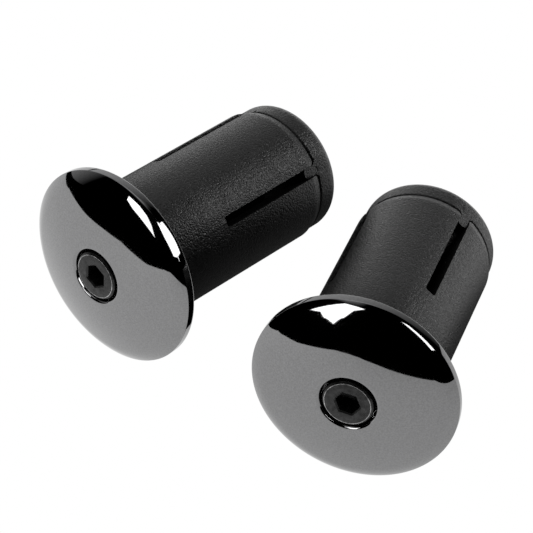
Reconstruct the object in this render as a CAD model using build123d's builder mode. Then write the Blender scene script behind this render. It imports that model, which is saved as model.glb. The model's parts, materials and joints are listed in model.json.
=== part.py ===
from build123d import *
from math import acos, asin, atan2, cos, degrees, hypot, radians, sin, sqrt, tan
import os

# A pair of expanding end plugs for a handlebar, lying side by side on a table.
# Turning the screw draws the wedge towards the cap, and its cone spreads the four
# fingers of the sleeve against the bore of the bar. Millimetres and degrees throughout.
# Along a plug's axis, 0 is the face where the bar's end stops, and + runs into the bar.

# Cap
cap_diameter = 28.6
rim_thickness = 1.3
crown_height = 4.9
shoulder_drop = 0.45
shoulder_radius = 6.2
rim_back_round = 0.4
rim_front_round = 0.12
head_hole_round = 0.5
seat_depth = 0.2
boss_length = 2.5
shoulder_seat_depth = 0.1
spigot_length = 0.8
spigot_step = 0.5

# Screw, washer and nut: M4 socket cap screw, which comes out 35 long
thread_diameter = 4.0
thread_past_nut = 0.7
head_diameter = 7.0
head_height = 4.0
head_edge = 0.3
socket_width = 3.0
socket_depth = 2.2
tip_chamfer = 0.4
washer_thickness = 0.5
nut_width = 7.0
nut_height = 3.2

# Sleeve
sleeve_diameter = 19.8
sleeve_wall = 2.6
sleeve_end = 30.95
lead_in_depth = 0.36
lead_in_length = 1.15
slot_width = 1.65
slot_start = 12.2
finger_count = 4

# Wedge
cone_angle = 30.0
cone_length = 7.25
wedge_rim_length = 3.95
wedge_rear_round = 2.0
key_length = 2.15
nut_pocket_depth = 4.8
hub_wall = 1.2
core_depth = 3.2
core_wall = 2.3
rib_thickness = 1.3

# Fits
hinge_gap = 0.05
cone_gap = 0.10
rim_gap = 0.3
key_gap = 0.125
running_gap = 0.05
head_hole_gap = 0.35
screw_hole_gap = 0.2
washer_bore_gap = 0.15
washer_rim_gap = 0.1
spigot_gap = 0.05
nut_pocket_gap = 0.05

# How the two plugs lie: the right one stands off from the left one's bar stop
right_plug_offset = (5.0, -39.1)
right_plug_heading = 23.9
left_plug_roll = 55.8
right_plug_roll = 35.9

cap_radius = cap_diameter / 2
sleeve_radius = sleeve_diameter / 2
sleeve_bore = sleeve_radius - sleeve_wall
boss_radius = sleeve_bore - spigot_gap
spigot_radius = sleeve_radius - spigot_step
wedge_radius = sleeve_radius - lead_in_depth
screw_hole = thread_diameter / 2 + screw_hole_gap
head_hole = head_diameter / 2 + head_hole_gap
finger_start = slot_start + hinge_gap
finger_arc = 360 / finger_count
key_width = slot_width - 2 * key_gap
wedge_rim_start = sleeve_end + rim_gap
wedge_nose = wedge_rim_start - cone_length
wedge_rear = wedge_rim_start + wedge_rim_length
key_tip = sleeve_end - key_length
under_head = -(seat_depth + washer_thickness)
head_top = under_head - head_height
nut_seat = wedge_rear - nut_pocket_depth
screw_tip = nut_seat + nut_height + thread_past_nut
nut_corner_radius = nut_width / 2 / cos(radians(30))
pocket_width = nut_width + 2 * nut_pocket_gap
hub_radius = nut_corner_radius + nut_pocket_gap + hub_wall

# The crown is part of a ball that would meet the rim's side a shoulder's drop above the
# rim's front edge, and the shoulder rolls off the ball down to that edge
crown_rise = crown_height - rim_thickness - shoulder_drop
crown_radius = (cap_radius**2 + crown_rise**2) / (2 * crown_rise)
crown_centre = crown_radius - crown_height
rim_corner_reach = hypot(cap_radius, rim_thickness + crown_centre)
rim_corner_angle = atan2(cap_radius, rim_thickness + crown_centre)
centre_distance = crown_radius - shoulder_radius
crown_edge_angle = rim_corner_angle - acos(
    (rim_corner_reach**2 + centre_distance**2 - shoulder_radius**2)
    / (2 * rim_corner_reach * centre_distance)
)


def crown_point(angle):
    """A point (out, along) on the crown, at an angle in radians from the axis"""
    return (crown_radius * sin(angle), crown_centre - crown_radius * cos(angle))


def cone_radius(along):
    """Radius of the wedge's cone at a place along the axis"""
    return wedge_radius - (wedge_rim_start - along) * tan(radians(cone_angle))


def rest_tilt():
    """Lean of a plug that rests on the table on its cap's rim and its wedge's rear edge"""
    drop = (cap_radius - rim_back_round) - (wedge_radius - wedge_rear_round)
    run = wedge_rear - wedge_rear_round + rim_back_round
    return acos((wedge_rear_round - rim_back_round) / hypot(run, drop)) - atan2(run, drop)


tilt = rest_tilt()
axis_height = (
    rim_back_round
    + (cap_radius - rim_back_round) * cos(tilt)
    - rim_back_round * sin(tilt)
)


def spin(plug, angle):
    """The same plane, turned about its own Z"""
    outward = plug.x_dir.rotate(Axis((0, 0, 0), plug.z_dir), angle)
    return Plane(origin=plug.origin, x_dir=outward, z_dir=plug.z_dir)


def lay_plug(place, heading, roll):
    """Plane on a plug's axis: origin at the bar stop, Z into the bar, X through a slot"""
    turned = radians(heading)
    into_bar = Vector(cos(tilt) * cos(turned), cos(tilt) * sin(turned), -sin(tilt))
    level = Vector(-sin(turned), cos(turned), 0)
    origin = (place[0], place[1], axis_height)
    return spin(Plane(origin=origin, x_dir=level, z_dir=into_bar), roll)


def reach(plug, direction):
    """How far a plug's outline reaches in a direction"""
    crown = [crown_point(crown_edge_angle * step / 8) for step in range(9)]
    rim = [(cap_radius, -rim_thickness), (cap_radius, -rim_back_round)]
    rear = [
        (
            wedge_radius - wedge_rear_round * (1 - cos(radians(angle))),
            wedge_rear - wedge_rear_round * (1 - sin(radians(angle))),
        )
        for angle in range(0, 91, 10)
    ]
    lean = plug.z_dir.dot(direction)
    spread = sqrt(1 - lean**2)
    return plug.origin.dot(direction) + max(
        along * lean + out * spread for out, along in crown + rim + rear
    )


def middle(plugs, direction):
    """Middle of the pair's extent along a direction"""
    far = max(reach(plug, direction) for plug in plugs)
    near = max(reach(plug, -direction) for plug in plugs)
    return (far - near) / 2


# The pair's origin is the point on the table under the middle of its box
first_try = [
    lay_plug((0, 0), 0, left_plug_roll),
    lay_plug(right_plug_offset, right_plug_heading, right_plug_roll),
]
middle_x = middle(first_try, Vector(1, 0, 0))
middle_y = middle(first_try, Vector(0, 1, 0))
left_place = (-middle_x, -middle_y)
right_place = (right_plug_offset[0] - middle_x, right_plug_offset[1] - middle_y)
plugs = {
    "left": lay_plug(left_place, 0, left_plug_roll),
    "right": lay_plug(right_place, right_plug_heading, right_plug_roll),
}


def half_section(plug, turn=0):
    """Plane through the plug's axis: X runs outward, Y along the axis into the bar"""
    spun = spin(plug, turn)
    return Plane(origin=spun.origin, x_dir=spun.x_dir, z_dir=-spun.y_dir)


def axis_of(plug):
    return Axis(plug.origin, plug.z_dir)


def make_cap(side, plug):
    """Turned cap: crowned face, hole for the screw's head, boss that centres the sleeve"""
    mouth_angle = asin(head_hole / crown_radius)
    shoulder_recess = sleeve_radius + spigot_gap
    spigot_recess = spigot_radius + spigot_gap
    with BuildPart() as cap:
        with BuildSketch(half_section(plug)) as profile:
            with BuildLine():
                crown = ThreePointArc(
                    crown_point(mouth_angle),
                    crown_point((mouth_angle + crown_edge_angle) / 2),
                    crown_point(crown_edge_angle),
                )
                shoulder = TangentArc(
                    crown @ 1, (cap_radius, -rim_thickness), tangent=crown % 1
                )
                Polyline(
                    shoulder @ 1,
                    (cap_radius, 0),
                    (shoulder_recess, 0),
                    (shoulder_recess, -shoulder_seat_depth),
                    (spigot_recess, -shoulder_seat_depth),
                    (spigot_recess, -spigot_length),
                    (boss_radius, -spigot_length),
                    (boss_radius, boss_length),
                    (screw_hole, boss_length),
                    (screw_hole, -seat_depth),
                    (head_hole, -seat_depth),
                    crown @ 0,
                )
            make_face()
            corners = profile.vertices()
            fillet(corners.sort_by_distance((cap_radius, 0))[0], rim_back_round)
            fillet(corners.sort_by_distance(shoulder @ 1)[0], rim_front_round)
            fillet(corners.sort_by_distance(crown @ 0)[0], head_hole_round)
        revolve(axis=axis_of(plug))
    cap.part.label = f"{side}_cap"
    export_step(cap.part, f"parts/{side}_cap.step")


def make_washer(side, plug):
    """Thin steel washer that keeps the turning head off the cap's soft seat"""
    with BuildPart() as washer:
        with BuildSketch(plug.offset(under_head)):
            Circle(head_hole - washer_rim_gap)
            Circle(thread_diameter / 2 + washer_bore_gap, mode=Mode.SUBTRACT)
        extrude(amount=washer_thickness)
    washer.part.label = f"{side}_washer"
    export_step(washer.part, f"parts/{side}_washer.step")


def make_screw(side, plug):
    """Socket cap screw; its thread is a plain shank of the thread's outer size"""
    with BuildPart() as screw:
        with BuildSketch(half_section(plug)):
            with BuildLine():
                Polyline(
                    (0, head_top),
                    (head_diameter / 2 - head_edge, head_top),
                    (head_diameter / 2, head_top + head_edge),
                    (head_diameter / 2, under_head),
                    (thread_diameter / 2, under_head),
                    (thread_diameter / 2, screw_tip - tip_chamfer),
                    (thread_diameter / 2 - tip_chamfer, screw_tip),
                    (0, screw_tip),
                    close=True,
                )
            make_face()
        revolve(axis=axis_of(plug))
        with BuildSketch(plug.offset(head_top)):
            RegularPolygon(socket_width / 2, 6, major_radius=False)
        extrude(amount=socket_depth, mode=Mode.SUBTRACT)
    screw.part.label = f"{side}_screw"
    export_step(screw.part, f"parts/{side}_screw.step")


def make_collar(side, plug):
    """Closed end of the sleeve, with a spigot that seats in the cap"""
    with BuildPart() as collar:
        with BuildSketch(plug.offset(-shoulder_seat_depth)):
            Circle(sleeve_radius)
            Circle(sleeve_bore, mode=Mode.SUBTRACT)
        extrude(amount=shoulder_seat_depth + slot_start)
        with BuildSketch(plug.offset(-spigot_length)):
            Circle(spigot_radius)
            Circle(sleeve_bore, mode=Mode.SUBTRACT)
        extrude(amount=spigot_length)
    collar.part.label = f"{side}_sleeve_collar"
    export_step(collar.part, f"parts/{side}_sleeve_collar.step")


def make_finger(side, plug, number):
    """One finger of the sleeve, between two slots, its end cut to the wedge's cone"""
    first_slot = finger_arc * (number - 1)
    end_radius = cone_radius(sleeve_end) + cone_gap / cos(radians(cone_angle))
    cone_start = sleeve_end - (end_radius - sleeve_bore) / tan(radians(cone_angle))
    with BuildPart() as finger:
        with BuildSketch(half_section(plug, first_slot)):
            with BuildLine():
                Polyline(
                    (sleeve_bore, finger_start),
                    (sleeve_radius, finger_start),
                    (sleeve_radius, sleeve_end - lead_in_length),
                    (sleeve_radius - lead_in_depth, sleeve_end),
                    (end_radius, sleeve_end),
                    (sleeve_bore, cone_start),
                    close=True,
                )
            make_face()
        revolve(axis=axis_of(plug), revolution_arc=finger_arc)
        for slot in (first_slot, first_slot + finger_arc):
            with BuildSketch(spin(plug.offset(slot_start), slot)):
                Rectangle(
                    sleeve_diameter, slot_width, align=(Align.MIN, Align.CENTER)
                )
            extrude(amount=sleeve_end, mode=Mode.SUBTRACT)
    finger.part.label = f"{side}_finger_{number}"
    export_step(finger.part, f"parts/{side}_finger_{number}.step")


def make_wedge(side, plug):
    """Cone with a rim, four keys that ride in the slots, and a pocket for the nut"""
    core_outer = wedge_radius - core_wall
    core_middle = (core_outer + hub_radius) / 2
    with BuildPart() as wedge:
        with BuildSketch(half_section(plug)) as profile:
            with BuildLine():
                Polyline(
                    (0, wedge_nose),
                    (cone_radius(wedge_nose), wedge_nose),
                    (wedge_radius, wedge_rim_start),
                    (wedge_radius, wedge_rear),
                    (0, wedge_rear),
                    close=True,
                )
            make_face()
            rear_corner = profile.vertices().sort_by_distance((wedge_radius, wedge_rear))
            fillet(rear_corner[0], wedge_rear_round)
        revolve(axis=axis_of(plug))
        for turn in range(0, 180, 90):
            with BuildSketch(spin(plug.offset(key_tip), turn)):
                Circle(wedge_radius)
                Rectangle(2 * wedge_radius, key_width, mode=Mode.INTERSECT)
            extrude(amount=wedge_rim_start - key_tip)
        with BuildSketch(plug.offset(wedge_rear - core_depth)):
            Circle(core_outer)
            Circle(hub_radius, mode=Mode.SUBTRACT)
            with PolarLocations(core_middle, finger_count):
                Rectangle(
                    2 * (core_outer - hub_radius), rib_thickness, mode=Mode.SUBTRACT
                )
        extrude(amount=core_depth, mode=Mode.SUBTRACT)
        with BuildSketch(plug.offset(nut_seat)):
            RegularPolygon(pocket_width / 2, 6, major_radius=False)
        extrude(amount=nut_pocket_depth, mode=Mode.SUBTRACT)
        with BuildSketch(plug.offset(wedge_nose)):
            Circle(screw_hole)
        extrude(amount=wedge_rear - wedge_nose, mode=Mode.SUBTRACT)
    wedge.part.label = f"{side}_wedge"
    export_step(wedge.part, f"parts/{side}_wedge.step")


def make_nut(side, plug):
    """Hex nut held in the wedge's pocket, its corners turned down at both ends"""
    bore = thread_diameter / 2 + running_gap
    corner_drop = (nut_corner_radius - nut_width / 2) * tan(radians(30))
    with BuildPart() as nut:
        with BuildSketch(plug.offset(nut_seat)):
            RegularPolygon(nut_width / 2, 6, major_radius=False)
        extrude(amount=nut_height)
        with BuildSketch(half_section(plug)):
            with BuildLine():
                Polyline(
                    (bore, nut_seat),
                    (nut_width / 2, nut_seat),
                    (nut_corner_radius, nut_seat + corner_drop),
                    (nut_corner_radius, nut_seat + nut_height - corner_drop),
                    (nut_width / 2, nut_seat + nut_height),
                    (bore, nut_seat + nut_height),
                    close=True,
                )
            make_face()
        revolve(axis=axis_of(plug), mode=Mode.INTERSECT)
    nut.part.label = f"{side}_nut"
    export_step(nut.part, f"parts/{side}_nut.step")


os.makedirs("parts", exist_ok=True)
for side, plug in plugs.items():
    make_cap(side, plug)
    make_washer(side, plug)
    make_screw(side, plug)
    make_collar(side, plug)
    for number in range(1, finger_count + 1):
        make_finger(side, plug, number)
    make_wedge(side, plug)
    make_nut(side, plug)

# Where each plug lies and turns, and each finger's bending line at the slots' ends
print(f"tilt {degrees(tilt):.4f} crown edge angle {degrees(crown_edge_angle):.3f}")
for side, plug in plugs.items():
    print(f"{side} bar stop {tuple(plug.origin)} axis {tuple(plug.z_dir)}")
    for number in range(1, finger_count + 1):
        facing = spin(plug, finger_arc * (number - 0.5))
        line = facing.from_local_coords(Vector(sleeve_radius, 0, slot_start))
        print(f"{side}_finger_{number} {tuple(line)} about {tuple(facing.y_dir)}")
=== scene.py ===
import json
from math import acos, asin, atan2, cos, hypot, pi, radians, sin, sqrt, tan

import bmesh
import bpy
from mathutils import Matrix, Vector


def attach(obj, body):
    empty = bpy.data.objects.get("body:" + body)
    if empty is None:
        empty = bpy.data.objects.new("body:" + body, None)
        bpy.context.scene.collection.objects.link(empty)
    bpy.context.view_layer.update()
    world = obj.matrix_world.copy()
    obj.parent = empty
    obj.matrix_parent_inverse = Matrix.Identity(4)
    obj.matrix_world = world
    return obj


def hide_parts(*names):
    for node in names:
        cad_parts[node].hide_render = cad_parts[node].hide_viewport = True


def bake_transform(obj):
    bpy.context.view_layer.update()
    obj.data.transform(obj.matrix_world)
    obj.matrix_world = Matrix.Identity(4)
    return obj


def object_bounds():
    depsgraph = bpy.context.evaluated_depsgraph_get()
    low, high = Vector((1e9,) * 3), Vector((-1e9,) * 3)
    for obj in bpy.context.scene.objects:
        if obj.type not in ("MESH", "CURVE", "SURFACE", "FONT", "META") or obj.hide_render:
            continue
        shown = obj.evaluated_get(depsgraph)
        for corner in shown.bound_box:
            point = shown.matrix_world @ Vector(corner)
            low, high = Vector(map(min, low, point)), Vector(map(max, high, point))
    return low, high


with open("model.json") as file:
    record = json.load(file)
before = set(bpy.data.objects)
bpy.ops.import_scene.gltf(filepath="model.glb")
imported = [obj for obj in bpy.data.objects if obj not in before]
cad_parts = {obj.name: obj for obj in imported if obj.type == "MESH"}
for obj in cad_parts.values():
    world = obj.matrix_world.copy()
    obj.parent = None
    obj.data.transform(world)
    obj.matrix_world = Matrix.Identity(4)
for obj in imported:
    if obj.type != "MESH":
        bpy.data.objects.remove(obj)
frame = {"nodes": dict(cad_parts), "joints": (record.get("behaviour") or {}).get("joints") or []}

cad_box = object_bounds()

# The pair
# Two expanding end plugs for a handlebar, lying on their caps' rims and their wedges' rear
# edges. Each is a turned cap, a slotted sleeve and a wedge, strung on one long screw.
SIDES = ("left", "right")
MM = 0.001
FINGERS = 4
QUARTER = 2 * pi / FINGERS
joints = {joint["name"]: joint for joint in frame["joints"]}


def plug_axes(side):
    """A plug's own axes in millimetres: 0 at the bar stop, Z into the bar, X through a slot"""
    turning = joints[f"{side}_screw_turn"]
    into_bar = Vector(turning["axis"]).normalized()
    across = Vector(joints[f"{side}_finger_1_spread"]["axis"]).normalized()
    mid_finger = across.cross(into_bar)
    through_slot = Matrix.Rotation(-QUARTER / 2, 3, into_bar) @ mid_finger
    beside = into_bar.cross(through_slot)
    turned = Matrix((through_slot, beside, into_bar)).transposed().to_4x4()
    return Matrix.Translation(turning["pos_m"]) @ turned @ Matrix.Scale(MM, 4)


AXES = {side: plug_axes(side) for side in SIDES}


# The camera
# A long lens looking down on the caps at about 44 degrees, from the side that their crowns
# face.
camera_azimuth = radians(-47.494)
camera_height = radians(44.321)
camera_distance = 0.4244
lens_length = 199.4
sensor_width = 36.0
aim_from_middle = Vector((0.0062, 0.01357, -0.00005))

lowest, highest = cad_box
table_middle = Vector(((lowest.x + highest.x) / 2, (lowest.y + highest.y) / 2, lowest.z))
toward_camera = Vector(
    (
        sin(camera_azimuth) * cos(camera_height),
        -cos(camera_azimuth) * cos(camera_height),
        sin(camera_height),
    )
)
camera_data = bpy.data.cameras.new("camera")
camera_data.sensor_width = sensor_width
camera_data.lens = lens_length
camera = bpy.data.objects.new("camera", camera_data)
camera.location = table_middle + aim_from_middle + toward_camera * camera_distance
camera.rotation_mode = "QUATERNION"
camera.rotation_quaternion = toward_camera.to_track_quat("Z", "Y")
bpy.context.scene.collection.objects.link(camera)
bpy.context.scene.camera = camera
bpy.context.scene.view_settings.view_transform = "Standard"


# The table
# A white top under the pair, bright enough to leave no shadow, and a dimmer one that lights
# the dull pieces from below. Each polished cap mirrors a smaller sheet, and past its edge the
# dark room shows in the polish.
def nodes_of(name):
    """A new material, its node tree and its output"""
    made = bpy.data.materials.new(name)
    made.use_nodes = True
    tree = made.node_tree
    tree.nodes.clear()
    return made, tree, tree.nodes.new("ShaderNodeOutputMaterial")


def add(tree, kind, inputs=None, **settings):
    """A node of that kind, with its settings and its unlinked inputs"""
    made = tree.nodes.new(f"ShaderNode{kind}")
    for key, value in settings.items():
        setattr(made, key, value)
    for key, value in (inputs or {}).items():
        made.inputs[key].default_value = value
    return made


def solid_from(name, points, faces):
    """A mesh object from points and faces, facing outward"""
    mesh = bpy.data.meshes.new(name)
    mesh.from_pydata(points, [], faces)
    shape = bmesh.new()
    shape.from_mesh(mesh)
    bmesh.ops.recalc_face_normals(shape, faces=shape.faces)
    shape.to_mesh(mesh)
    shape.free()
    made = bpy.data.objects.new(name, mesh)
    bpy.context.scene.collection.objects.link(made)
    return made


def glow(name, strength, near=None, far=None, axis="Y", dimmest=0.72, clear=False):
    """A white surface that shines evenly, or that brightens from near to far along an axis.

    A clear one hides nothing that is behind it.
    """
    made, tree, out = nodes_of(name)
    light = add(tree, "Emission", {"Strength": strength})
    if near is not None:
        where = add(tree, "NewGeometry")
        split = add(tree, "SeparateXYZ")
        fade = add(tree, "MapRange", {"From Min": near, "From Max": far, "To Min": dimmest})
        shade = add(tree, "CombineColor")
        tree.links.new(where.outputs["Position"], split.inputs[0])
        tree.links.new(split.outputs[axis], fade.inputs["Value"])
        for channel in ("Red", "Green", "Blue"):
            tree.links.new(fade.outputs[0], shade.inputs[channel])
        tree.links.new(shade.outputs[0], light.inputs["Color"])
    if clear:
        through = add(tree, "BsdfTransparent")
        both = add(tree, "AddShader")
        tree.links.new(light.outputs[0], both.inputs[0])
        tree.links.new(through.outputs[0], both.inputs[1])
        light = both
    tree.links.new(light.outputs[0], out.inputs["Surface"])
    return made


table_half = 4.0
table_clearance = 0.0001
layer_gap = 0.001
table_level = table_middle.z - table_clearance


def table_top(name, level, finish):
    """A large square at a level, with a glowing finish"""
    corners = [(-1, -1), (1, -1), (1, 1), (-1, 1)]
    points = [(x * table_half, y * table_half, level) for x, y in corners]
    made = solid_from(name, points, [(0, 1, 2, 3)])
    made.data.materials.append(finish)
    made.visible_shadow = False
    return made


table = table_top("table", table_level - 2 * layer_gap, glow("table_white", 1.0))
table.visible_glossy = False
table.visible_diffuse = False

# Pieces with a dull finish, which the lower top and the soft box light
dull_pieces = bpy.data.collections.new("dull_pieces")
bounce_white = glow("bounce_white", 1.3, 0.025, 0.065, "X", 0.05)
bounce = table_top("table_bounce", table_level - layer_gap, bounce_white)
bounce.visible_camera = False
bounce.light_linking.receiver_collection = dull_pieces

# The mirrored sheets: far edges that both caps share, then each one's own near edges
horizon_edge = [
    (0.000, 0.400), (-0.080, 0.200), (-0.085, 0.122), (-0.105, 0.103), (-0.140, 0.091),
    (-0.160, 0.072), (-0.142, 0.048), (-0.124, 0.026), (-0.133, 0.011), (-0.156, 0.001),
    (-0.190, -0.014), (-0.250, -0.040), (-0.268, -0.068), (-0.250, -0.086), (-0.190, -0.097),
    (-0.075, -0.098),
]
near_edge = {
    "left": [(-0.040, -0.060), (-0.022, -0.020), (-0.018, 0.001), (0.600, 0.001), (0.600, 0.400)],
    "right": [(-0.040, -0.160), (0.100, -0.400), (0.600, -0.400), (0.600, 0.400)],
}
sheet_gap = 0.0004
sheet_level = {"left": table_level, "right": table_level - sheet_gap}
sheet_strength = 1.02
mirrored_by = {side: bpy.data.collections.new(f"mirrors_{side}_sheet") for side in SIDES}
for side in SIDES:
    edge = horizon_edge + near_edge[side]
    sheet = solid_from(
        f"{side}_mirrored_sheet",
        [(x, y, sheet_level[side]) for x, y in edge],
        [tuple(range(len(edge)))],
    )
    sheet_white = glow(f"{side}_sheet_white", sheet_strength, -0.11, 0.03, clear=True)
    sheet.data.materials.append(sheet_white)
    sheet.visible_camera = False
    sheet.visible_diffuse = False
    sheet.visible_shadow = False
    sheet.light_linking.receiver_collection = mirrored_by[side]


# The light
# A dark room with a pale ceiling over the caps and a pale wall beyond the sleeves, and one
# soft box in front of the sleeves that brings out the grain of the nylon.
room = bpy.data.worlds.new("room")
room.use_nodes = True
bpy.context.scene.world = room
walls = room.node_tree
walls.nodes.clear()
looking = add(walls, "TexCoord")
split = add(walls, "SeparateXYZ")
ceiling = add(walls, "MapRange", {"From Min": 0.70, "From Max": 0.84, "To Max": 1.0})
ceiling_fade = add(walls, "MapRange", {"From Min": -0.12, "From Max": 0.12, "To Max": 0.85})
facing_wall = add(walls, "VectorMath", operation="DOT_PRODUCT")
facing_wall.inputs[1].default_value = (0.55, 0.83, -0.05)
wall = add(walls, "MapRange", {"From Min": 0.30, "From Max": 1.0, "To Max": 0.75})
over = add(walls, "Math", operation="MULTIPLY")
brightest = add(walls, "Math", operation="MAXIMUM")
grey = add(walls, "CombineColor")
inside = add(walls, "Background", {"Strength": 1.0})
outside = add(walls, "Background", {"Color": (1, 1, 1, 1), "Strength": 1.0})
straight = add(walls, "LightPath")
choose = add(walls, "MixShader")
world_out = walls.nodes.new("ShaderNodeOutputWorld")
walls.links.new(looking.outputs["Generated"], split.inputs[0])
walls.links.new(looking.outputs["Generated"], facing_wall.inputs[0])
walls.links.new(split.outputs["Z"], ceiling.inputs["Value"])
walls.links.new(split.outputs["Y"], ceiling_fade.inputs["Value"])
walls.links.new(facing_wall.outputs["Value"], wall.inputs["Value"])
walls.links.new(ceiling.outputs[0], over.inputs[0])
walls.links.new(ceiling_fade.outputs[0], over.inputs[1])
walls.links.new(over.outputs[0], brightest.inputs[0])
walls.links.new(wall.outputs[0], brightest.inputs[1])
for channel in ("Red", "Green", "Blue"):
    walls.links.new(brightest.outputs[0], grey.inputs[channel])
walls.links.new(grey.outputs[0], inside.inputs["Color"])
walls.links.new(straight.outputs["Is Camera Ray"], choose.inputs[0])
walls.links.new(inside.outputs[0], choose.inputs[1])
walls.links.new(outside.outputs[0], choose.inputs[2])
walls.links.new(choose.outputs[0], world_out.inputs["Surface"])


def toward(azimuth, height):
    """Unit direction from the pair, azimuth from +X toward +Y, in degrees"""
    turn, lift = radians(azimuth), radians(height)
    return Vector((cos(turn) * cos(lift), sin(turn) * cos(lift), sin(lift)))


box_width = 0.24
box_distance = 0.9
box_watts = 1.7
toward_box = toward(328, 31)
near_box = bpy.data.lights.new("near_box", "AREA")
near_box.size = box_width
near_box.energy = box_watts
lamp = bpy.data.objects.new("near_box", near_box)
lamp.location = table_middle + toward_box * box_distance
lamp.rotation_mode = "QUATERNION"
lamp.rotation_quaternion = toward_box.to_track_quat("Z", "Y")
lamp.visible_camera = False
lamp.light_linking.receiver_collection = dull_pieces
bpy.context.scene.collection.objects.link(lamp)


# The caps
# Turned aluminium, polished and plated black chrome: a low crown that rolls over a soft
# shoulder to a thin rim, a hole for the screw's head, and a boss behind that centres the sleeve.
cap_radius = 14.3
rim_thickness = 1.3
crown_height = 4.9
shoulder_drop = 0.45
shoulder_radius = 6.2
rim_back_round = 0.4
rim_front_round = 0.12
head_hole = 3.85
head_hole_round = 0.5
seat_depth = 0.2
screw_hole = 2.2
boss_radius = 7.25
boss_length = 2.5
shoulder_recess = 9.95
shoulder_seat_depth = 0.1
spigot_recess = 9.45
spigot_length = 0.8
recess_break = 0.06
boss_chamfer = 0.3
hole_chamfer = 0.2
crease = radians(32)

crown_rise = crown_height - rim_thickness - shoulder_drop
crown_radius = (cap_radius**2 + crown_rise**2) / (2 * crown_rise)
crown_centre = crown_radius - crown_height
corner_reach = hypot(cap_radius, rim_thickness + crown_centre)
centres_apart = crown_radius - shoulder_radius
crown_edge = atan2(cap_radius, rim_thickness + crown_centre) - acos(
    (corner_reach**2 + centres_apart**2 - shoulder_radius**2)
    / (2 * corner_reach * centres_apart)
)


def arc(out, along, radius, start, end, steps):
    """Points round a centre; angle 0 faces the cap's front and a quarter turn faces outward"""
    angles = [start + (end - start) * step / steps for step in range(steps + 1)]
    return [(out + radius * sin(a), along - radius * cos(a)) for a in angles]


def turned(name, side, outline, steps=288, swell=None, sharp=crease):
    """Closed solid turned about a plug's axis, from (out, along) points in millimetres.

    An outline that starts and ends on the axis closes there, and another is a ring. swell
    gives the radius at (turn, out, along) where the piece isn't quite round.
    """
    poles = outline[0][0] == 0 and outline[-1][0] == 0
    rings = outline[1:-1] if poles else outline
    points = []
    for out, along in rings:
        for step in range(steps):
            turn = 2 * pi * step / steps
            radius = swell(turn, out, along) if swell else out
            points.append((radius * cos(turn), radius * sin(turn), along))
    count = len(rings)
    faces = []
    for ring in range(count - 1 if poles else count):
        this, following = ring * steps, (ring + 1) % count * steps
        for step in range(steps):
            after = (step + 1) % steps
            faces.append((this + step, this + after, following + after, following + step))
    if poles:
        for end, ring in ((outline[0], 0), (outline[-1], count - 1)):
            points.append((0, 0, end[1]))
            for step in range(steps):
                after = (step + 1) % steps
                faces.append((ring * steps + step, ring * steps + after, len(points) - 1))
    made = solid_from(name, [AXES[side] @ Vector(p) for p in points], faces)
    smooth(made, sharp)
    return made


def smooth(piece, sharp):
    """Smooth shading with creases where faces turn by more than sharp"""
    piece.data.polygons.foreach_set("use_smooth", [True] * len(piece.data.polygons))
    piece.data.set_sharp_from_angle(angle=sharp)


shoulder_out = centres_apart * sin(crown_edge)
shoulder_along = crown_centre - centres_apart * cos(crown_edge)
front_out = cap_radius - rim_front_round
front_reach = shoulder_radius - rim_front_round
front_angle = asin((front_out - shoulder_out) / front_reach)
front_along = shoulder_along - front_reach * cos(front_angle)
mouth_out = head_hole + head_hole_round
mouth_reach = crown_radius - head_hole_round
mouth_angle = asin(mouth_out / mouth_reach)
mouth_along = crown_centre - mouth_reach * cos(mouth_angle)
cap_outline = (
    arc(mouth_out, mouth_along, head_hole_round, -pi / 2, mouth_angle, 10)
    + arc(0, crown_centre, crown_radius, mouth_angle, crown_edge, 40)[1:]
    + arc(shoulder_out, shoulder_along, shoulder_radius, crown_edge, front_angle, 24)[1:]
    + arc(front_out, front_along, rim_front_round, front_angle, pi / 2, 5)[1:]
    + arc(cap_radius - rim_back_round, -rim_back_round, rim_back_round, pi / 2, pi, 8)
    + [
        (shoulder_recess + recess_break, 0),
        (shoulder_recess, -recess_break),
        (shoulder_recess, -shoulder_seat_depth),
        (spigot_recess, -shoulder_seat_depth),
        (spigot_recess, -spigot_length),
        (boss_radius, -spigot_length),
        (boss_radius, boss_length - boss_chamfer),
        (boss_radius - boss_chamfer, boss_length),
        (screw_hole + hole_chamfer, boss_length),
        (screw_hole, boss_length - hole_chamfer),
        (screw_hole, -seat_depth),
        (head_hole, -seat_depth),
    ]
)


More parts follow.
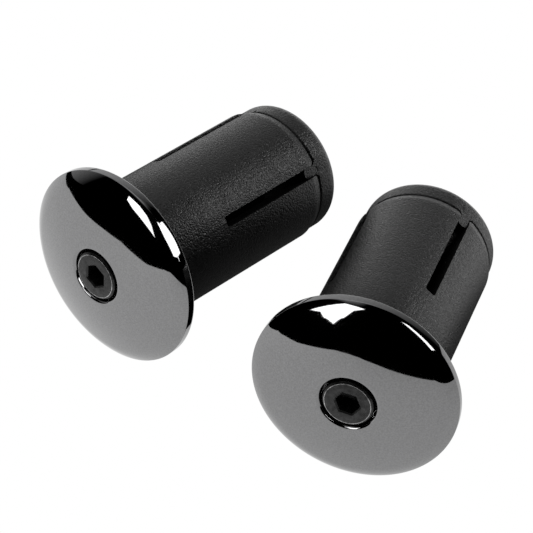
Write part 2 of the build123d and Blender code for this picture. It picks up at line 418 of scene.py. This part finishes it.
def black_chrome():
    """Dark mirror plate with faint polishing haze and the finest orange peel"""
    made, tree, out = nodes_of("black_chrome")
    metal = add(tree, "BsdfPrincipled", {"Metallic": 1.0, "IOR": 2.2})
    place = add(tree, "TexCoord")
    grain = add(tree, "TexNoise", {"Scale": 4600.0, "Detail": 2.0, "Roughness": 0.6})
    cloud = add(tree, "TexNoise", {"Scale": 130.0, "Detail": 3.0, "Roughness": 0.55})
    tint = add(tree, "ValToRGB")
    tint.color_ramp.elements[0].position = 0.30
    tint.color_ramp.elements[0].color = (0.206, 0.206, 0.208, 1)
    tint.color_ramp.elements[1].position = 0.70
    tint.color_ramp.elements[1].color = (0.266, 0.266, 0.269, 1)
    haze = add(tree, "MapRange", {"From Min": 0.3, "From Max": 0.7, "To Min": 0.018, "To Max": 0.05})
    peel = add(tree, "Bump", {"Strength": 0.02, "Distance": 0.00001})
    for source, noise in ((place.outputs["Object"], grain), (place.outputs["Object"], cloud)):
        tree.links.new(source, noise.inputs["Vector"])
    tree.links.new(grain.outputs["Fac"], tint.inputs["Fac"])
    tree.links.new(cloud.outputs["Fac"], haze.inputs["Value"])
    tree.links.new(grain.outputs["Fac"], peel.inputs["Height"])
    tree.links.new(tint.outputs["Color"], metal.inputs["Base Color"])
    tree.links.new(haze.outputs[0], metal.inputs["Roughness"])
    tree.links.new(peel.outputs[0], metal.inputs["Normal"])
    tree.links.new(metal.outputs[0], out.inputs["Surface"])
    return made


chrome = black_chrome()
for side in SIDES:
    cap = turned(f"{side}_cap_shell", side, cap_outline, steps=360)
    cap.data.materials.append(chrome)
    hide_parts(f"{side}_cap")
    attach(cap, f"{side}_plug")
    mirrored_by[side].objects.link(cap)

# White cards that show in the caps' polish, each lighting one cap only. Corners are azimuth
# and height in degrees, seen from the middle of the cap.
card_distance = 0.9
card_strength = 5.5
cards = {
    "left": [
        [(155, 37), (168, 37.5), (178, 33), (182, 25), (182, 13.5), (173, 17), (163, 21), (156, 28)],
        [(193, 39), (200, 27.5), (206.5, 19.5), (209, 15), (217, 17), (221, 22), (221, 54), (214, 50)],
        [(221, 22), (221, 54), (262, 60), (275, 40), (270, 20)],
        [(270, 20), (262, 60), (334, 39), (313, 14)],
    ],
    "right": [
        [(157, 20), (172, 43.5), (193, 43.5), (186, 33), (185.5, 12), (182, 6.5), (177, 8), (168, 19)],
        [(231, 43), (237, 41.5), (253.5, 18.5), (248, 17.5)],
    ],
}
for side in SIDES:
    receivers = bpy.data.collections.new(f"{side}_cap_only")
    receivers.objects.link(bpy.data.objects[f"{side}_cap_shell"])
    cap_middle = AXES[side] @ Vector((0, 0, -rim_thickness))
    for number, corners in enumerate(cards[side], 1):
        rays = [toward(*corner) for corner in corners]
        facing = sum(rays, Vector()).normalized()
        card = solid_from(
            f"{side}_card_{number}",
            [cap_middle + ray * (card_distance / ray.dot(facing)) for ray in rays],
            [tuple(range(len(corners)))],
        )
        card_white = glow(f"{side}_card_{number}_white", card_strength, clear=True)
        card.data.materials.append(card_white)
        card.visible_camera = False
        card.visible_diffuse = False
        card.visible_shadow = False
        card.light_linking.receiver_collection = receivers


# The washers
# Thin zinc-plated steel rings that keep the turning heads off the caps' seats.
def zinc_plate():
    """Bright plated steel with a faint bloom and fine brushing"""
    made, tree, out = nodes_of("zinc_plate")
    metal = add(tree, "BsdfPrincipled", {"Metallic": 1.0})
    place = add(tree, "TexCoord")
    bloom = add(tree, "TexNoise", {"Scale": 900.0, "Detail": 4.0})
    tint = add(tree, "ValToRGB")
    tint.color_ramp.elements[0].color = (0.42, 0.43, 0.44, 1)
    tint.color_ramp.elements[1].color = (0.66, 0.66, 0.64, 1)
    haze = add(tree, "MapRange", {"To Min": 0.22, "To Max": 0.42})
    tooth = add(tree, "Bump", {"Strength": 0.25, "Distance": 0.00002})
    tree.links.new(place.outputs["Object"], bloom.inputs["Vector"])
    tree.links.new(bloom.outputs["Fac"], tint.inputs["Fac"])
    tree.links.new(bloom.outputs["Fac"], haze.inputs["Value"])
    tree.links.new(bloom.outputs["Fac"], tooth.inputs["Height"])
    tree.links.new(tint.outputs["Color"], metal.inputs["Base Color"])
    tree.links.new(haze.outputs[0], metal.inputs["Roughness"])
    tree.links.new(tooth.outputs[0], metal.inputs["Normal"])
    tree.links.new(metal.outputs[0], out.inputs["Surface"])
    return made


def refinish(node, finish):
    """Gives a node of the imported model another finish"""
    piece = frame["nodes"][node]
    piece.data.materials.clear()
    piece.data.materials.append(finish)


zinc = zinc_plate()
for side in SIDES:
    refinish(f"{side}_washer", zinc)
    dull_pieces.objects.link(frame["nodes"][f"{side}_washer"])


# The screws
# Long M4 socket cap screws in black oxide: a knurled head with a narrow ring along its face's edge
# that is lighter and speckled in colour, partly rubbed wear and partly painted glints, a hex socket
# with a bevelled mouth, and a thread cut over the last 20 mm.
head_radius = 3.5
head_top = -4.7
under_head = -0.7
head_edge = 0.25
# Width of the head's edge ring, whose lighter colour is partly rubbed wear and partly painted glints
rubbed_glint_width = 0.09
hex_width = 3.0
hex_depth = 2.2
socket_mouth = 1.70
mouth_bevel = 0.2
thread_radius = 2.0
thread_pitch = 0.7
thread_depth = 0.40
thread_start = 14.3
screw_tip = 34.3
tip_chamfer = 0.4
thread_cuts = 6
neck_chamfer = 0.2
socket_point = 0.5
face_drop = 0.02
knurl_teeth = 40
knurl_depth = 0.09
knurl_end = under_head - 0.7
knurl_runout = 0.1


def screw_radius(turn, out, along):
    """Radius of the screw where its socket, knurl or thread leaves the round"""
    if out <= socket_mouth and along < under_head:
        flat = (turn + pi / 6) % (pi / 3) - pi / 6
        return out / cos(flat)
    if out == head_radius and head_top + head_edge < along < knurl_end:
        tooth = turn * knurl_teeth / (2 * pi) % 1
        return out - knurl_depth * abs(2 * tooth - 1)
    if thread_start < along < screw_tip - tip_chamfer and out == thread_radius:
        lead = (along / thread_pitch - turn / (2 * pi)) % 1
        runout = min(1, (along - thread_start) / thread_pitch)
        return out - thread_depth * runout * abs(2 * lead - 1)
    return out


thread_steps = int((screw_tip - tip_chamfer - thread_start) / thread_pitch * thread_cuts)
socket_floor = head_top + hex_depth
screw_outline = (
    [
        (0, socket_floor + socket_point),
        (hex_width / 2, socket_floor),
        (hex_width / 2, head_top + mouth_bevel),
        (socket_mouth, head_top),
        (head_radius - head_edge - rubbed_glint_width, head_top),
        (head_radius - head_edge, head_top + face_drop),
        (head_radius, head_top + head_edge),
        (head_radius, head_top + head_edge + knurl_runout / 2),
        (head_radius, knurl_end - knurl_runout),
        (head_radius, knurl_end + knurl_runout),
        (head_radius, under_head),
        (thread_radius + neck_chamfer, under_head),
        (thread_radius, under_head + neck_chamfer),
    ]
    + [
        (thread_radius, thread_start + step * thread_pitch / thread_cuts)
        for step in range(thread_steps + 1)
    ]
    + [
        (thread_radius - thread_depth, screw_tip),
        (0, screw_tip),
    ]
)


def black_oxide(name, dark, light, shine):
    """Blackened steel, mottled by oil and handling; given a light colour, the bright mottle is painted
    glints
    """
    made, tree, out = nodes_of(name)
    metal = add(tree, "BsdfPrincipled", {"Metallic": 0.85})
    place = add(tree, "TexCoord")
    mottle = add(tree, "TexNoise", {"Scale": 1400.0, "Detail": 4.0, "Roughness": 0.6})
    tint = add(tree, "ValToRGB")
    tint.color_ramp.elements[0].position = 0.32
    tint.color_ramp.elements[0].color = (dark, dark, dark, 1)
    tint.color_ramp.elements[1].position = 0.72
    tint.color_ramp.elements[1].color = (light, light, light, 1)
    haze = add(tree, "MapRange", {"To Min": shine, "To Max": shine + 0.2})
    tooth = add(tree, "Bump", {"Strength": 0.35, "Distance": 0.00002})
    tree.links.new(place.outputs["Object"], mottle.inputs["Vector"])
    tree.links.new(mottle.outputs["Fac"], tint.inputs["Fac"])
    tree.links.new(mottle.outputs["Fac"], haze.inputs["Value"])
    tree.links.new(mottle.outputs["Fac"], tooth.inputs["Height"])
    tree.links.new(tint.outputs["Color"], metal.inputs["Base Color"])
    tree.links.new(haze.outputs[0], metal.inputs["Roughness"])
    tree.links.new(tooth.outputs[0], metal.inputs["Normal"])
    tree.links.new(metal.outputs[0], out.inputs["Surface"])
    return made


oxide = black_oxide("black_oxide", 0.022, 0.072, 0.30)
# The edge ring's finish has a lighter, high-contrast mottle: partly rubbed wear, partly painted glints
# along the head's edge
rubbed_and_glint_finish = black_oxide("rubbed_edge_and_painted_glints", 0.08, 0.75, 0.22)
for side in SIDES:
    screw = turned(f"{side}_cap_screw", side, screw_outline, 160, screw_radius)
    screw.data.materials.append(oxide)
    screw.data.materials.append(rubbed_and_glint_finish)
    to_plug = AXES[side].inverted()
    # Faces on the head's edge ring take the lighter finish with its painted glints
    for face in screw.data.polygons:
        middle = to_plug @ face.center
        out = hypot(middle.x, middle.y)
        inside_edge = head_radius - head_edge - out
        on_edge = 0 < inside_edge < rubbed_glint_width and middle.z < head_top + face_drop
        face.material_index = 1 if on_edge else 0
    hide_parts(f"{side}_screw")
    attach(screw, f"{side}_screw")
    mirrored_by[side].objects.link(screw)


# The sleeves
# Moulded in black glass-filled nylon: a closed collar that plugs into the cap, and four
# fingers between slots. A fine parting line runs on from each slot's end to the cap.
sleeve_radius = 9.9
sleeve_bore = 7.3
spigot_radius = 9.4
sleeve_end = 30.95
lead_in_depth = 0.36
lead_in_length = 1.15
slot_half = 0.825
slot_start = 12.2
slot_corner = 0.4
mouth_round = 0.55
bend_start = 11.2
parting_height = 0.035
parting_share = 1 / 90
finger_columns = 44
collar_chamfer = 0.15
shoulder_break = 0.05
cone_angle = radians(30)
cone_slope = tan(cone_angle)
wedge_radius = sleeve_radius - lead_in_depth
wedge_rim_start = 31.25
cone_gap = 0.1


def spark_nylon():
    """Black nylon with the pebbled face of a spark-eroded mould"""
    made, tree, out = nodes_of("spark_nylon")
    nylon = add(tree, "BsdfPrincipled", {"IOR": 1.53, "Specular IOR Level": 0.5})
    place = add(tree, "TexCoord")
    pebble = add(tree, "TexNoise", {"Scale": 3900.0, "Detail": 1.0, "Roughness": 0.6})
    fibre = add(tree, "TexNoise", {"Scale": 700.0, "Detail": 4.0, "Roughness": 0.6})
    tint = add(tree, "ValToRGB")
    tint.color_ramp.elements[0].position = 0.30
    tint.color_ramp.elements[0].color = (0.005, 0.005, 0.005, 1)
    tint.color_ramp.elements[1].position = 0.75
    tint.color_ramp.elements[1].color = (0.011, 0.011, 0.011, 1)
    matt = add(tree, "MapRange", {"From Min": 0.3, "From Max": 0.7, "To Min": 0.24, "To Max": 0.50})
    tooth = add(tree, "Bump", {"Strength": 1.0, "Distance": 0.00011})
    tree.links.new(place.outputs["Object"], pebble.inputs["Vector"])
    tree.links.new(place.outputs["Object"], fibre.inputs["Vector"])
    tree.links.new(fibre.outputs["Fac"], tint.inputs["Fac"])
    tree.links.new(pebble.outputs["Fac"], matt.inputs["Value"])
    tree.links.new(pebble.outputs["Fac"], tooth.inputs["Height"])
    tree.links.new(tint.outputs["Color"], nylon.inputs["Base Color"])
    tree.links.new(matt.outputs[0], nylon.inputs["Roughness"])
    tree.links.new(tooth.outputs[0], nylon.inputs["Normal"])
    tree.links.new(nylon.outputs[0], out.inputs["Surface"])
    return made


def parting(turn, out, along):
    """The collar's radius, raised a hair along the parting lines"""
    from_line = (turn + QUARTER / 2) % QUARTER - QUARTER / 2
    raised = out == sleeve_radius and abs(from_line) < radians(0.6)
    return out + parting_height if raised else out


collar_outline = [
    (sleeve_bore, -spigot_length + collar_chamfer),
    (sleeve_bore + collar_chamfer, -spigot_length),
    (spigot_radius - collar_chamfer, -spigot_length),
    (spigot_radius, -spigot_length + collar_chamfer),
    (spigot_radius, -shoulder_seat_depth),
    (sleeve_radius - shoulder_break, -shoulder_seat_depth),
    (sleeve_radius, 0.0),
    (sleeve_radius, bend_start),
    (sleeve_bore, bend_start),
]


def slot_reach(along):
    """Half the gap between neighbouring fingers at a place along the slot"""
    if along <= slot_start:
        return 0.0
    in_corner = slot_start + slot_corner - along
    if in_corner > 0:
        return slot_half - slot_corner + sqrt(slot_corner**2 - in_corner**2)
    past_mouth = along - (sleeve_end - mouth_round)
    if past_mouth > 0:
        return slot_half + mouth_round - sqrt(max(0, mouth_round**2 - past_mouth**2))
    return slot_half


def finger_rows():
    """Places along a finger where its outline changes, close together where it bends"""
    rows = [bend_start + (slot_start - bend_start) * step / 5 for step in range(6)]
    rows += [slot_start + 0.01 + slot_corner * (1 - cos(pi / 2 * step / 7)) for step in range(8)]
    first = rows[-1]
    last = sleeve_end - lead_in_length
    rows += [first + (last - first) * step / 40 for step in range(1, 41)]
    rows += [last + (sleeve_end - mouth_round - last) * step / 3 for step in (1, 2, 3)]
    rows += [sleeve_end - mouth_round + mouth_round * sin(pi / 2 * step / 9) for step in range(1, 10)]
    return rows


def finger_points(number):
    """Rings of points round a finger's section, one ring for each row"""
    between = [step / finger_columns for step in range(1, finger_columns)]
    columns = [0, parting_share] + between + [1 - parting_share, 1]
    first_slot = QUARTER * (number - 1)
    points = []
    for along in finger_rows():
        lead_in = max(0, along - (sleeve_end - lead_in_length)) / lead_in_length
        outer = sleeve_radius - lead_in_depth * lead_in
        cone = wedge_radius - (wedge_rim_start - along) * cone_slope + cone_gap / cos(cone_angle)
        inner = max(sleeve_bore, cone)
        ring = []
        for radius, order in ((outer, columns), (inner, columns[::-1])):
            gap = asin(slot_reach(along) / radius)
            for share in order:
                turn = first_slot + gap + (QUARTER - 2 * gap) * share
                on_line = radius == sleeve_radius and share in (0, 1) and along <= slot_start
                reach = radius + parting_height if on_line else radius
                ring.append((reach * cos(turn), reach * sin(turn), along))
        points.append(ring)
    return points


def make_finger(side, number):
    """A closed finger that starts flush with the collar's end"""
    rings = finger_points(number)
    size = len(rings[0])
    half = size // 2
    faces = []
    for row in range(len(rings) - 1):
        for place in range(size):
            after = (place + 1) % size
            this, following = row * size, (row + 1) * size
            faces.append((this + place, this + after, following + after, following + place))
    for row in (0, len(rings) - 1):
        for place in range(half - 1):
            across = size - 1 - place
            start = row * size
            faces.append((start + place, start + place + 1, start + across - 1, start + across))
    points = [AXES[side] @ Vector(point) for ring in rings for point in ring]
    finger = solid_from(f"{side}_sleeve_finger_{number}", points, faces)
    smooth(finger, crease)
    return finger


nylon = spark_nylon()
for side in SIDES:
    collar = turned(f"{side}_collar", side, collar_outline, 360, parting)
    collar.data.materials.append(nylon)
    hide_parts(f"{side}_sleeve_collar")
    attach(collar, f"{side}_plug")
    dull_pieces.objects.link(collar)
    for number in range(1, FINGERS + 1):
        finger = make_finger(side, number)
        finger.data.materials.append(nylon)
        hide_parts(f"{side}_finger_{number}")
        dull_pieces.objects.link(finger)
        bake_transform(finger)


# The wedges
# Moulded in the same nylon: a cone under a rim, four keys that ride in the sleeve's slots,
# and a cored rear face with ribs and a pocket for the nut.
wedge_nose = 24.0
wedge_rear = 35.2
wedge_rear_round = 2.0
wedge_rim_round = 0.25
cone_step = 0.02
key_tip = 28.8
key_half = 0.7
key_round = 0.55
key_flare = 0.35
key_root = 0.6
key_step = 0.02
hub_radius = 5.29
core_outer = 7.24
core_depth = 3.2
rib_thickness = 1.3
nut_seat = 30.4
pocket_width = 7.1
moulded_edge = 0.12

rear_out = wedge_radius - wedge_rear_round
rear_along = wedge_rear - wedge_rear_round
wedge_outline = (
    [
        (screw_hole, wedge_nose),
        (wedge_radius - (wedge_rim_start - wedge_nose) * cone_slope, wedge_nose),
        (
            wedge_radius - wedge_rim_round - cone_step,
            wedge_rim_start - wedge_rim_round * cone_slope,
        ),
    ]
    + arc(
        wedge_radius - wedge_rim_round,
        wedge_rim_start + wedge_rim_round,
        wedge_rim_round,
        radians(15),
        pi / 2,
        5,
    )
    + arc(rear_out, rear_along, wedge_rear_round, pi / 2, pi, 16)
    + [(screw_hole, wedge_rear)]
)


def prism(name, side, corners, bottom, top, lay=None):
    """A closed prism between two places along a plug's axis, for cutting or joining"""
    count = len(corners)
    points = [(x, y, bottom) for x, y in corners] + [(x, y, top) for x, y in corners]
    if lay:
        points = [lay @ Vector(point) for point in points]
    faces = [tuple(range(count)), tuple(range(count, 2 * count))]
    for place in range(count):
        after = (place + 1) % count
        faces.append((place, after, count + after, count + place))
    return solid_from(name, [AXES[side] @ Vector(point) for point in points], faces)


def settle(piece):
    """Makes a piece's modifiers part of its mesh"""
    bpy.context.view_layer.update()
    evaluated = piece.evaluated_get(bpy.context.evaluated_depsgraph_get())
    result = bpy.data.meshes.new_from_object(evaluated)
    piece.modifiers.clear()
    piece.data = result


def work(piece, tool, operation):
    """Cuts or joins one closed piece with another, and clears the tool away"""
    step = piece.modifiers.new(operation, "BOOLEAN")
    step.operation = operation
    step.solver = "EXACT"
    step.object = tool
    settle(piece)
    bpy.data.objects.remove(tool)


def key_outline():
    """A key's face, rounded at the tip: X across the slot, Y along the plug's axis"""
    flare = []
    for step in range(6):
        turn = pi / 2 * step / 5
        flare.append((key_flare * (1 - sin(turn)), wedge_rim_start - key_flare * sin(turn)))
    points = [(key_half + key_flare, wedge_rim_start + key_root)]
    points += [(key_half + x, y) for x, y in flare]
    for number, x in enumerate((key_half - key_round, key_round - key_half)):
        for step in range(6):
            turn = -pi / 2 * (number + step / 5)
            points.append((x + key_round * cos(turn), key_tip + key_round * (1 + sin(turn))))
    points += [(-key_half - x, y) for x, y in flare[::-1]]
    points.append((-key_half - key_flare, wedge_rim_start + key_root))
    return points


def make_wedge(side):
    """The turned cone and rim, with its keys joined on and its rear cored out"""
    wedge = turned(f"{side}_wedge_moulding", side, wedge_outline, 192)
    for number in range(FINGERS):
        upright = Matrix(((0, 0, 1, 0), (1, 0, 0, 0), (0, 1, 0, 0), (0, 0, 0, 1)))
        lay = Matrix.Rotation(QUARTER * number, 4, "Z") @ upright
        key = prism("key", side, key_outline(), hub_radius, wedge_radius - key_step, lay)
        work(wedge, key, "UNION")
    for number in range(FINGERS):
        start = QUARTER * number
        outer_gap = asin(rib_thickness / 2 / core_outer)
        inner_gap = asin(rib_thickness / 2 / hub_radius)
        corners = []
        for radius, gap, sign in ((core_outer, outer_gap, 1), (hub_radius, inner_gap, -1)):
            turns = [start + gap + (QUARTER - 2 * gap) * step / 24 for step in range(25)]
            corners += [(radius * cos(t), radius * sin(t)) for t in turns[::sign]]
        pocket = prism("pocket", side, corners, wedge_rear - core_depth, wedge_rear + 1)
        work(wedge, pocket, "DIFFERENCE")
    corner = pocket_width / 2 / cos(pi / 6)
    turns = [pi / 3 * number + pi / 6 for number in range(6)]
    hexagon = [(corner * cos(turn), corner * sin(turn)) for turn in turns]
    work(wedge, prism("nut_pocket", side, hexagon, nut_seat, wedge_rear + 1), "DIFFERENCE")
    edges = wedge.modifiers.new("moulded_edges", "BEVEL")
    edges.width = moulded_edge * MM
    edges.segments = 2
    edges.limit_method = "ANGLE"
    edges.angle_limit = radians(40)
    settle(wedge)
    smooth(wedge, radians(35))
    return wedge


for side in SIDES:
    wedge = make_wedge(side)
    wedge.data.materials.clear()
    wedge.data.materials.append(nylon)
    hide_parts(f"{side}_wedge")
    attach(wedge, f"{side}_wedge")
    dull_pieces.objects.link(wedge)


# The nuts
# Zinc-plated hex nuts held in the wedges' pockets, which the screws draw towards the caps.
for side in SIDES:
    refinish(f"{side}_nut", zinc)
    dull_pieces.objects.link(frame["nodes"][f"{side}_nut"])
